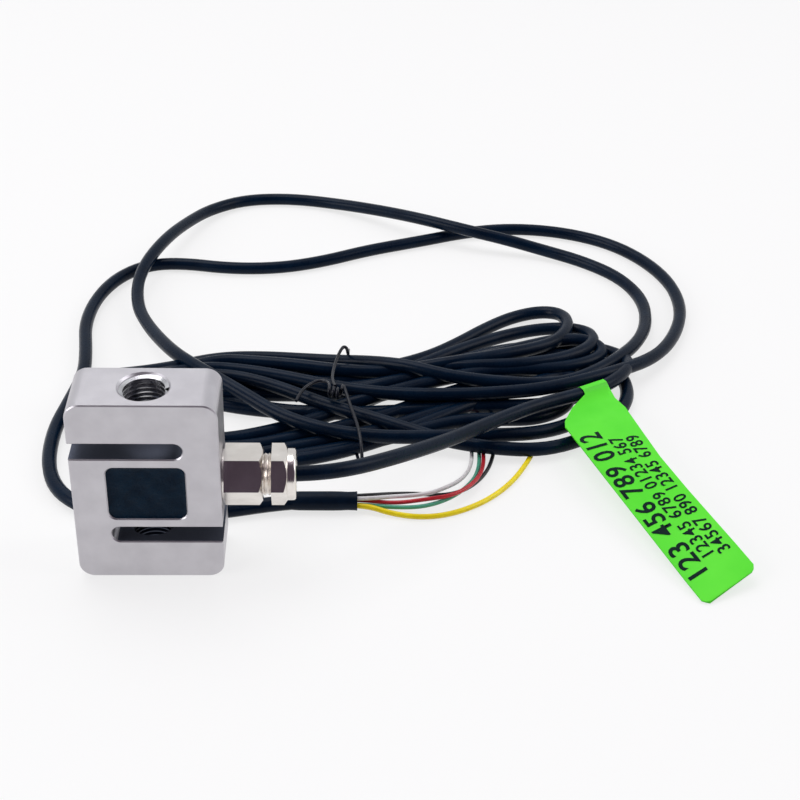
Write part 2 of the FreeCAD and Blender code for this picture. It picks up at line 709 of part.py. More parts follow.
# ---------------------------------------------------------------- build, check, write
build_spring_body()
build_potting("front_potting", -1)
build_potting("rear_potting", 1)
for level_name, level in (("upper", 1), ("lower", -1)):
    for side_name, side in (("left", -1), ("right", 1)):
        build_gauge("strain_gauge_%s_%s" % (level_name, side_name), side, level)
build_board()
build_resistor("zero_trim_resistor", 1)
build_resistor("span_trim_resistor", -1)
build_gland_washer()
build_gland_body()
build_gland_seal()
build_gland_ring()
build_gland_nut()
build_cable()
DOC.recompute()

for thing in DOC.Objects:
    for word in ("Invalid", "Error"):
        if word in thing.State:
            raise RuntimeError("%s is %s" % (thing.Label, word))
for node in SUB_PARTS:
    if node.Shape.isNull() or not node.Shape.isValid():
        raise RuntimeError(node.Label + " has no sound shape")

os.makedirs("parts", exist_ok=True)
for node in SUB_PARTS:
    node.Shape.exportStep("parts/%s.step" % node.Label)
    print("%-26s %9.2f mm3, %d solid" % (node.Label, node.Shape.Volume, len(node.Shape.Solids)))
print("%d sub-parts" % len(SUB_PARTS))
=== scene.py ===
"""S-type load cell: machined block, cable gland, tied hank of signal cable, flag label.

The block stands on its lower face at the origin. +X points out of the gland, +Y to the
back, +Z up the load axis. Lengths are in metres, and routes are listed in millimetres.
"""

import logging
import math
from dataclasses import dataclass
from enum import Enum
from typing import Iterable, Sequence

import bpy
from mathutils import Matrix, Vector

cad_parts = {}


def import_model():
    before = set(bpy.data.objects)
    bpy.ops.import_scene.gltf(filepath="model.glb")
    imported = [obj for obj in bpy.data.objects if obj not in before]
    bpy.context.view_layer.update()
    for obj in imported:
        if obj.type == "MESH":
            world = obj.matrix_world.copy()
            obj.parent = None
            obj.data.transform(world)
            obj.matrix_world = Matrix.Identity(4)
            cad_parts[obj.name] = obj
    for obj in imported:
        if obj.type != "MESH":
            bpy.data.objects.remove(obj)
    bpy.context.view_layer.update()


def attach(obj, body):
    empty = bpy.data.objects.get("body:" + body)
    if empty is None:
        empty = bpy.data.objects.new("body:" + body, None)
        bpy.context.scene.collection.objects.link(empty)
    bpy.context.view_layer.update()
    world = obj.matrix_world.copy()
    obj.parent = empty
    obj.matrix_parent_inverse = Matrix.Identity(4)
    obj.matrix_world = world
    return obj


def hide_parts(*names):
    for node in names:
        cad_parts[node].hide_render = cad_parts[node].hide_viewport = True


LOG = logging.getLogger("load_cell")
MM = 0.001
Point = tuple[float, float, float]
Spot = tuple[float, float]
Colour = tuple[float, float, float]


# ------------------------------------------------------------------ modelling helpers
def metres(points: Sequence[Point]) -> list[Vector]:
    """The points of a millimetre list as vectors in metres."""
    return [Vector(point) * MM for point in points]


def laid(route: Sequence[Point | Spot], height: float) -> list[Point]:
    """A cord's route with its spots on the table lifted to a height."""
    return [(*point, height) if len(point) == 2 else point for point in route]


def nothing_selected() -> None:
    """Leave edit mode and deselect every object."""
    if bpy.context.object and bpy.context.object.mode != "OBJECT":
        bpy.ops.object.mode_set(mode="OBJECT")
    bpy.ops.object.select_all(action="DESELECT")


def only(piece: bpy.types.Object) -> bpy.types.Object:
    """Make one object the sole selected and active one.

    Args:
        piece: the object to work on.
    Returns:
        The same object.
    """
    nothing_selected()
    piece.select_set(True)
    bpy.context.view_layer.objects.active = piece
    return piece


def settle(piece: bpy.types.Object, name: str) -> bpy.types.Object:
    """Name a piece and put its place and turn into its mesh.

    Args:
        piece: the object to name.
        name: the name of the piece.
    Returns:
        The same object, at the origin and unturned.
    """
    only(piece)
    bpy.ops.object.transform_apply(location=True, rotation=True, scale=True)
    piece.name = name
    piece.data.name = name
    return piece


def apply_modifiers(piece: bpy.types.Object) -> None:
    """Apply every modifier of a piece in its order."""
    only(piece)
    for modifier in list(piece.modifiers):
        bpy.ops.object.modifier_apply(modifier=modifier.name)


def edit_all(piece: bpy.types.Object, mode: str) -> None:
    """Open a piece in edit mode with all of it selected.

    Args:
        piece: the object, which is left in edit mode.
        mode: VERT or FACE.
    """
    only(piece)
    bpy.ops.object.mode_set(mode="EDIT")
    bpy.ops.mesh.select_mode(type=mode)
    bpy.ops.mesh.select_all(action="SELECT")


def done_editing() -> None:
    """Leave edit mode."""
    bpy.ops.object.mode_set(mode="OBJECT")


def outward(piece: bpy.types.Object) -> None:
    """Merge doubles and point the faces of a closed piece outwards."""
    edit_all(piece, "VERT")
    bpy.ops.mesh.remove_doubles(threshold=1e-6)
    bpy.ops.mesh.normals_make_consistent(inside=False)
    done_editing()


def smooth(piece: bpy.types.Object, degrees: float = 35.0) -> None:
    """Shade a piece smooth, apart from its sharp edges."""
    only(piece)
    bpy.ops.object.shade_smooth_by_angle(angle=math.radians(degrees))


def turned(name: str, profile: Sequence[tuple[float, float]], centre: Vector, axis: Vector,
           steps: int = 64) -> bpy.types.Object:
    """Turn a closed profile round an axis.

    Args:
        name: the name of the piece.
        profile: distances along the axis and from it, in millimetres.
        centre: the axis's zero point, in metres.
        axis: the direction of the axis.
        steps: the facets of a full turn.
    Returns:
        The turned piece.
    """
    nothing_selected()
    bpy.ops.mesh.primitive_circle_add(vertices=len(profile), radius=1, fill_type="NOTHING")
    piece = bpy.context.object
    for vertex, (along, out) in zip(piece.data.vertices, profile):
        vertex.co = Vector((out * MM, 0, along * MM))
    edit_all(piece, "VERT")
    bpy.ops.mesh.spin(steps=steps, angle=math.tau, center=(0, 0, 0), axis=(0, 0, 1))
    done_editing()
    piece.data.transform(axis.to_track_quat("Z", "Y").to_matrix().to_4x4())
    piece.location = centre
    settle(piece, name)
    outward(piece)
    smooth(piece, 30)
    return piece


def strand(name: str, route: Sequence[Point], across: float, fine: int = 4,
           round_steps: int = 4) -> bpy.types.Object:
    """A round strand on one smooth curve.

    Args:
        name: the name of the piece.
        route: its control points, in millimetres.
        across: its diameter, in millimetres.
        fine: the curve's steps per control point.
        round_steps: the steps of its quarter circle.
    Returns:
        The curve object.
    """
    curve = bpy.data.curves.new(name, "CURVE")
    curve.dimensions = "3D"
    curve.resolution_u = curve.render_resolution_u = fine
    curve.bevel_depth = across * MM / 2
    curve.bevel_resolution = round_steps
    curve.use_fill_caps = True
    line = curve.splines.new("NURBS")
    line.points.add(len(route) - 1)
    for point, place in zip(line.points, metres(route)):
        point.co = (*place, 1.0)
    line.order_u = 3
    line.use_endpoint_u = True
    piece = bpy.data.objects.new(name, curve)
    bpy.context.collection.objects.link(piece)
    return piece


def centreline(piece: bpy.types.Object) -> list[Vector]:
    """The points that a strand's curve passes through, in metres."""
    bare = piece.copy()
    bare.data = piece.data.copy()
    bare.data.bevel_depth = 0
    bpy.context.collection.objects.link(bare)
    mesh = bpy.data.meshes.new_from_object(bare)
    points = [vertex.co.copy() for vertex in mesh.vertices]
    bpy.data.objects.remove(bare)
    bpy.data.meshes.remove(mesh)
    return points


def length_of(line: Sequence[Vector]) -> float:
    """The length of a run of points, in their own units."""
    return sum((end - start).length for start, end in zip(line, line[1:]))


# ------------------------------------------------------------------ finishes
class Graph:
    """A small builder for a node tree."""

    def __init__(self, tree: bpy.types.NodeTree) -> None:
        """Work on a tree."""
        self.tree = tree

    def add(self, kind: str, **settings: object) -> bpy.types.Node:
        """Add one node and set its properties and input values.

        Args:
            kind: the node's type name.
            settings: properties, or inputs where an input has that name.
        Returns:
            The node.
        """
        node = self.tree.nodes.new(kind)
        for key, value in settings.items():
            if hasattr(node, key):
                setattr(node, key, value)
            else:
                self.feed(node, {key.replace("_", " "): value})
        return node

    def feed(self, node: bpy.types.Node, values: dict) -> bpy.types.Node:
        """Link or set inputs of a node.

        Args:
            node: the node.
            values: sockets or plain values by the input's name or number.
        Returns:
            The node.
        """
        for key, value in values.items():
            if isinstance(value, bpy.types.NodeSocket):
                self.tree.links.new(value, node.inputs[key])
            else:
                node.inputs[key].default_value = value
        return node

    def math(self, operation: str, *values: object) -> bpy.types.NodeSocket:
        """The result of one sum on sockets or numbers."""
        node = self.add("ShaderNodeMath", operation=operation)
        return self.feed(node, dict(enumerate(values))).outputs["Value"]

    def mix_shaders(self, share: bpy.types.NodeSocket, one: bpy.types.NodeSocket,
                    other: bpy.types.NodeSocket, output: str) -> None:
        """Send a mixture of two shaders to an output node.

        Args:
            share: the second shader's share.
            one: the first shader.
            other: the second shader.
            output: the output node's name.
        """
        mix = self.feed(self.add("ShaderNodeMixShader"), {"Fac": share, 1: one, 2: other})
        self.feed(self.tree.nodes[output], {"Surface": mix.outputs["Shader"]})


class Nodes(Graph):
    """A small builder for one procedural material."""

    def __init__(self, name: str) -> None:
        """Start a material of that name with a plain Principled surface."""
        self.material = bpy.data.materials.new(name)
        self.material.use_nodes = True
        super().__init__(self.material.node_tree)
        self.shader = self.tree.nodes["Principled BSDF"]
        self.place = self.add("ShaderNodeTexCoord").outputs["Object"]

    def noise(self, scale: float, detail: float, rough: float) -> bpy.types.NodeSocket:
        """A noise pattern on the piece.

        Args:
            scale: its size, per metre.
            detail: its octaves.
            rough: the strength of the finer octaves.
        Returns:
            The noise's value.
        """
        return self.add("ShaderNodeTexNoise", Vector=self.place, Scale=scale, Detail=detail,
                        Roughness=rough).outputs["Fac"]

    def ramp(self, value: bpy.types.NodeSocket,
             stops: Sequence[tuple[float, Colour]]) -> bpy.types.NodeSocket:
        """Colours along a value.

        Args:
            value: the value from 0 to 1.
            stops: positions and their colours.
        Returns:
            The colour.
        """
        ramp = self.add("ShaderNodeValToRGB")
        band = ramp.color_ramp
        while len(band.elements) < len(stops):
            band.elements.new(0.5)
        for element, (position, colour) in zip(band.elements, stops):
            element.position = position
            element.color = (*colour, 1.0)
        return self.feed(ramp, {"Fac": value}).outputs["Color"]

    def span(self, value: bpy.types.NodeSocket, low: float, high: float,
             start: float = 0.3, end: float = 0.7) -> bpy.types.NodeSocket:
        """Stretch part of a pattern over a range.

        Args:
            value: the pattern.
            low: what it becomes at start.
            high: what it becomes at end.
            start: the pattern's lower end.
            end: the pattern's upper end.
        Returns:
            The new value.
        """
        node = self.add("ShaderNodeMapRange", Value=value, From_Min=start, From_Max=end,
                        To_Min=low, To_Max=high)
        return node.outputs["Result"]

    def both(self, one: bpy.types.NodeSocket | None,
             other: bpy.types.NodeSocket) -> bpy.types.NodeSocket:
        """The product of two masks, or the second where there is no first."""
        return other if one is None else self.math("MULTIPLY", one, other)

    def bump(self, height: bpy.types.NodeSocket, depth: float, strength: float = 1.0,
             over: bpy.types.NodeSocket | None = None) -> bpy.types.NodeSocket:
        """Turn a pattern into relief.

        Args:
            height: the pattern.
            depth: its depth in metres.
            strength: how much of it shows.
            over: the relief it adds to.
        Returns:
            The bent normal.
        """
        node = self.add("ShaderNodeBump", Strength=strength, Distance=depth, Height=height)
        if over:
            self.feed(node, {"Normal": over})
        return node.outputs["Normal"]

    def set(self, **inputs: object) -> None:
        """Set or link inputs of the surface."""
        for key, value in inputs.items():
            if isinstance(value, tuple):
                value = (*value, 1.0)
            self.feed(self.shader, {key.replace("_", " "): value})


@dataclass(frozen=True)
class Metal:
    """A bare or plated metal surface."""

    name: str
    dark: Colour
    light: Colour
    roughness: tuple[float, float]
    grain: float
    relief: float
    cloud: tuple[float, float, float] = (140, 3, 0.55)
    cloud_range: tuple[float, float] = (0.35, 0.65)
    grain_detail: tuple[float, float] = (5, 0.7)
    grain_strength: float = 0.6

    def patterns(self, nodes: Nodes) -> tuple[bpy.types.NodeSocket, bpy.types.NodeSocket]:
        """The fine grain and the clouded tone.

        Args:
            nodes: the material.
        Returns:
            The grain's value and the tone's colour.
        """
        cloud = nodes.span(nodes.noise(*self.cloud), 0, 1, *self.cloud_range)
        fine = nodes.noise(self.grain, *self.grain_detail)
        return fine, nodes.ramp(cloud, ((0, self.dark), (1, self.light)))

    def make(self) -> bpy.types.Material:
        """The material, with clouded tone, fine grain and uneven polish."""
        nodes = Nodes(self.name)
        fine, tone = self.patterns(nodes)
        nodes.set(
            Base_Color=tone, Metallic=1.0,
            Roughness=nodes.span(fine, self.roughness[0], self.roughness[1]),
            Normal=nodes.bump(fine, self.relief, self.grain_strength))
        return nodes.material


@dataclass(frozen=True)
class BlockWithPaintedSlotShade:
    """Milled aluminium whose two slots were cut by wire, which leaves them matt; their dark colour
    is painted shade.
    """

    name: str
    milled: Metal
    # slot is the colour of the shade painted in the slots
    slot: Colour
    slots: tuple[tuple[Point, Point], ...]
    facing_limit: float = 0.4
    shade_speckle: float = 0.7
    slot_roughness: float = 0.6

    def inside(self, nodes: Nodes, low: Point, high: Point) -> bpy.types.NodeSocket:
        """One where the surface lies in a slot and faces across it: where the shade is painted.

        Args:
            nodes: the material.
            low: the slot's lowest corner, in millimetres.
            high: its highest corner.
        Returns:
            The mask where shade is painted.
        """
        apart = nodes.add("ShaderNodeSeparateXYZ", Vector=nodes.place)
        shade_mask = None
        for axis, start, end in (("X", low[0], high[0]), ("Z", low[2], high[2])):
            for operation, limit in (("GREATER_THAN", start), ("LESS_THAN", end)):
                shade_mask = nodes.both(shade_mask, nodes.math(operation, apart.outputs[axis], limit * MM))
        normal = nodes.add("ShaderNodeTexCoord").outputs["Normal"]
        facing = nodes.add("ShaderNodeSeparateXYZ", Vector=normal)
        sideways = nodes.math("ABSOLUTE", facing.outputs["Y"])
        return nodes.both(shade_mask, nodes.math("LESS_THAN", sideways, self.facing_limit))

    def make(self) -> bpy.types.Material:
        """The material: milled outside, with painted shade, dark and speckled, on the slots' inner
        faces.
        """
        nodes = Nodes(self.name)
        fine, tone = self.milled.patterns(nodes)
        # painted shade: the slots' dark colour, speckled darker by the grain
        shade_speckle = nodes.ramp(nodes.span(fine, 0, 1),
                             ((0, tuple(self.shade_speckle * c for c in self.slot)), (1, self.slot)))
        rough = nodes.span(fine, *self.milled.roughness)
        for low, high in self.slots:
            # the painted shade goes on the slots' inner faces
            shade_mask = self.inside(nodes, low, high)
            mix = nodes.add("ShaderNodeMix", data_type="RGBA")
            tone = nodes.feed(mix, {"Factor": shade_mask, 6: tone, 7: shade_speckle}).outputs[2]
            matt = nodes.add("ShaderNodeMix", data_type="FLOAT")
            nodes.feed(matt, {"Factor": shade_mask, 2: rough, 3: self.slot_roughness})
            rough = matt.outputs[0]
        nodes.set(Base_Color=tone, Metallic=1.0, Roughness=rough,
                  Normal=nodes.bump(fine, self.milled.relief, self.milled.grain_strength))
        return nodes.material


@dataclass(frozen=True)
class Polymer:
    """A moulded, extruded or poured plastic surface."""

    name: str
    dark: Colour
    light: Colour
    roughness: tuple[float, float]
    wave: float
    relief: float
    gloss: float = 0.5
    finer: float = 9
    fine_relief: float = 0.2

    def make(self) -> bpy.types.Material:
        """The material, with faint handling marks and a slightly wavy surface."""
        nodes = Nodes(self.name)
        slow = nodes.noise(self.wave, 3, 0.5)
        fine = nodes.noise(self.wave * self.finer, 4, 0.6)
        nodes.set(
            Base_Color=nodes.ramp(nodes.span(slow, 0, 1), ((0, self.dark), (1, self.light))),
            Roughness=nodes.span(fine, self.roughness[0], self.roughness[1]),
            Specular_IOR_Level=self.gloss,
            Normal=nodes.bump(fine, self.relief * self.fine_relief, 0.5,
                              nodes.bump(slow, self.relief, 0.6)))
        return nodes.material


class Finish(Enum):
    """Every finish of the load cell."""

    # the slot colour (0.135, 0.15, 0.20) is shade painted inside the two slots
    BLOCK = BlockWithPaintedSlotShade("aluminium_with_painted_slot_shade", Metal(
        "machined_aluminium", (0.52, 0.505, 0.535), (0.575, 0.56, 0.59), (0.34, 0.48),
        5200, 0.00003), (0.135, 0.15, 0.20),
        (((-8.0, 0, 10.9), (18.2, 0, 15.5)), ((-18.2, 0, 35.7), (9.4, 0, 40.3))))
    THREAD = Metal("cut_thread", (0.40, 0.40, 0.42), (0.76, 0.76, 0.78), (0.12, 0.24),
                   4200, 0.00002)
    SHADED_THREAD = Metal("shaded_thread", (0.03, 0.035, 0.05), (0.07, 0.08, 0.11), (0.35, 0.55),
                          4200, 0.00002)
    NICKEL = Metal("nickel_plate", (0.72, 0.68, 0.64), (0.84, 0.80, 0.76), (0.13, 0.26),
                   3000, 0.000012)
    FOIL = Metal("gauge_foil", (0.62, 0.48, 0.25), (0.74, 0.60, 0.36), (0.3, 0.5), 3000, 0.00001)
    JACKET = Polymer("cable_jacket", (0.0006, 0.0055, 0.0165), (0.0016, 0.0095, 0.025),
                     (0.24, 0.36), 160, 0.00004, 0.11)
    SHRINK = Polymer("shrink_sleeve", (0.0006, 0.0055, 0.0165), (0.0016, 0.0095, 0.025),
                     (0.36, 0.5), 300, 0.00016, 0.11)
    POUR = Polymer("black_pour", (0.0008, 0.007, 0.018), (0.003, 0.015, 0.032),
                   (0.20, 0.46), 260, 0.0009, 0.07)
    RUBBER = Polymer("black_rubber", (0.015, 0.015, 0.016), (0.025, 0.025, 0.027),
                     (0.5, 0.65), 400, 0.00005)
    WIRE = Polymer("tie_wire_coat", (0.004, 0.006, 0.012), (0.008, 0.010, 0.018),
                   (0.22, 0.34), 500, 0.00004, 0.3)
    BOARD = Polymer("board_laminate", (0.03, 0.16, 0.07), (0.04, 0.21, 0.09), (0.3, 0.45),
                    500, 0.00002)
    CERAMIC = Polymer("resistor_ceramic", (0.03, 0.03, 0.035), (0.06, 0.06, 0.065),
                      (0.3, 0.5), 900, 0.00002)
    RED = Polymer("red_insulation", (0.50, 0.010, 0.022), (0.62, 0.018, 0.035),
                  (0.28, 0.4), 300, 0.00004)
    BLACK = Polymer("black_insulation", (0.010, 0.010, 0.012), (0.02, 0.02, 0.024),
                    (0.28, 0.4), 300, 0.00004)
    GREEN = Polymer("green_insulation", (0.06, 0.36, 0.22), (0.10, 0.44, 0.30),
                    (0.28, 0.4), 300, 0.00004)
    WHITE = Polymer("white_insulation", (0.74, 0.72, 0.72), (0.84, 0.83, 0.83),
                    (0.28, 0.4), 300, 0.00004)
    YELLOW = Polymer("yellow_insulation", (0.96, 0.74, 0.0), (1.0, 0.84, 0.004),
                     (0.28, 0.4), 300, 0.00004)
    LABEL = Polymer("label_film", (0.075, 0.74, 0.012), (0.11, 0.82, 0.024), (0.34, 0.46),
                    60, 0.00006, 0.3)
    PRINT = Polymer("label_print", (0.001, 0.012, 0.010), (0.002, 0.018, 0.014), (0.4, 0.5),
                    900, 0.00001, 0.08)

    def material(self) -> bpy.types.Material:
        """The finish's material, made once."""
        found = bpy.data.materials.get(self.value.name)
        return found or self.value.make()

    def on(self, *pieces: bpy.types.Object) -> None:
        """Put the finish on pieces as their only material."""
        for piece in pieces:
            piece.data.materials.clear()
            piece.data.materials.append(self.material())


def fit(piece: bpy.types.Object, finish: Finish,
        replaced: Iterable[str] = ()) -> bpy.types.Object:
    """Dress a new piece, fix it to the part and report it.

    Args:
        piece: the new piece.
        finish: its finish.
        replaced: the CAD nodes that it stands for.
    Returns:
        The piece.
    """
    finish.on(piece)
    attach(piece, "root")
    replaced = list(replaced)
    if replaced:
        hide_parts(*replaced)
    LOG.info("%s in %s", piece.name, finish.value.name)
    return piece


def dress_node(name: str, finish: Finish) -> None:
    """Give a CAD node its finish, and leave its shape as it is."""
    finish.on(bpy.data.objects[name])
    LOG.info("%s in %s", name, finish.value.name)


# ------------------------------------------------------------------ studio
@dataclass
class Studio:
    """The floor, the soft lights and the camera."""

    eye: Point = (44.82, -303.41, 247.14)
    pitch: float = 33.28
    yaw: float = 3.07
    roll: float = 1.98
    focal: float = 68.0
    dim_side: Point = (0.0, -0.86, 0.51)
    dim_range: tuple[float, float] = (0.15, 0.75)
    glow: float = 0.80
    dim_glow: float = 0.07
    tint: Colour = (0.97, 0.98, 1.0)
    dim_tint: Colour = (0.95, 0.70, 1.0)
    floor_size: float = 6.0
    floor_tone: float = 0.86
    floor_glow: float = 0.72
    sensor: float = 36.0
    nearest: float = 0.01

    lamps: tuple[tuple[str, Point, Point, float, float], ...] = (
        ("key_lamp", (-250, 380, 1050), (50, 70, 0), 0.7, 4.5),
        ("side_lamp", (900, 50, 700), (50, 40, 0), 0.6, 3.0),
        ("front_lamp", (-900, -450, 500), (20, 30, 10), 0.7, 6.0))

    def build_camera(self) -> None:
        """Stand the camera at the view's place and make it the scene's own."""
        bpy.ops.object.camera_add()
        camera = bpy.context.object
        pitch, yaw, roll = (math.radians(a) for a in (self.pitch, self.yaw, self.roll))
        ahead = Vector((math.sin(yaw) * math.cos(pitch), math.cos(yaw) * math.cos(pitch),
                        -math.sin(pitch)))
        level = Vector((math.cos(yaw), -math.sin(yaw), 0))
        upward = level.cross(ahead)
        right = math.cos(roll) * level + math.sin(roll) * upward
        top = -math.sin(roll) * level + math.cos(roll) * upward
        turn = Matrix((right, top, -ahead)).transposed().to_4x4()
        camera.matrix_world = Matrix.Translation(Vector(self.eye) * MM) @ turn
        camera.data.sensor_width = self.sensor
        camera.data.lens = self.focal
        camera.data.clip_start = self.nearest
        bpy.context.scene.camera = camera

    def build_floor(self) -> None:
        """Lay the pale floor, which keeps the object's shadow."""
        nothing_selected()
        bpy.ops.mesh.primitive_plane_add(size=self.floor_size)
        floor = settle(bpy.context.object, "floor")
        nodes = Nodes("pale_floor")
        nodes.set(Base_Color=(self.floor_tone,) * 3, Roughness=0.8)
        glow = nodes.add("ShaderNodeEmission", Color=(1, 1, 1, 1), Strength=1.0)
        rays = nodes.add("ShaderNodeLightPath")
        seen = nodes.math("ADD", rays.outputs["Is Camera Ray"], rays.outputs["Is Glossy Ray"])
        nodes.mix_shaders(nodes.math("MULTIPLY", seen, self.floor_glow),
                          nodes.shader.outputs["BSDF"], glow.outputs["Emission"],
                          "Material Output")
        floor.data.materials.append(nodes.material)

    def build_world(self) -> None:
        """A white surround for what is seen, and a soft level glow for light."""
        world = bpy.data.worlds.new("surround")
        bpy.context.scene.world = world
        world.use_nodes = True
        graph = Graph(world.node_tree)
        seen = graph.feed(graph.tree.nodes["Background"], {"Color": (1, 1, 1, 1)})
        place = graph.add("ShaderNodeTexCoord")
        side = graph.add("ShaderNodeVectorMath", operation="DOT_PRODUCT")
        graph.feed(side, {0: place.outputs["Generated"], 1: self.dim_side})
        start, end = self.dim_range
        fade = graph.add("ShaderNodeMapRange", interpolation_type="SMOOTHSTEP",
                         Value=side.outputs["Value"], From_Min=start, From_Max=end,
                         To_Min=self.glow, To_Max=self.dim_glow)
        tint = graph.add("ShaderNodeMapRange", data_type="FLOAT_VECTOR")
        numbers = {socket.identifier: at for at, socket in enumerate(tint.inputs)}
        graph.feed(tint, {numbers[label]: value for label, value in (
            ("Vector", side.outputs["Value"]), ("From_Min_FLOAT3", (start,) * 3),
            ("From_Max_FLOAT3", (end,) * 3), ("To_Min_FLOAT3", self.tint),
            ("To_Max_FLOAT3", self.dim_tint))})
        colour = next(s for s in tint.outputs if s.identifier == "Vector")
        soft = graph.add("ShaderNodeBackground", Strength=fade.outputs["Result"], Color=colour)
        rays = graph.add("ShaderNodeLightPath")
        pale = graph.math("MAXIMUM", rays.outputs["Is Camera Ray"],
                          rays.outputs["Is Transmission Ray"])
        graph.mix_shaders(pale, soft.outputs["Background"], seen.outputs["Background"],
                          "World Output")

    def build_light(self, name: str, place: Point, aim: Point, size: float,
                    power: float) -> None:
        """Hang one soft square lamp.

        Args:
            name: the lamp's name.
            place: where it hangs, in millimetres.
            aim: what it points at, in millimetres.
            size: its side, in metres.
            power: its power, in watts.
        """
        bpy.ops.object.light_add(type="AREA", location=Vector(place) * MM)
        lamp = bpy.context.object
        lamp.name = name
        lamp.data.size = size
        lamp.data.energy = power
        lamp.rotation_euler = (Vector(aim) - Vector(place)).to_track_quat("-Z", "Y").to_euler()

    def build(self) -> None:
        """Set the whole studio up."""
        bpy.context.scene.view_settings.view_transform = "Standard"
        self.build_camera()
        self.build_floor()
        self.build_world()
        for lamp in self.lamps:
            self.build_light(*lamp)
        LOG.info("studio ready")


# ------------------------------------------------------------------ routes
# A point of two numbers lies on the table: its height is then the cord's radius.
CABLE_LIES = 2.05
CORE_LIES = 0.62

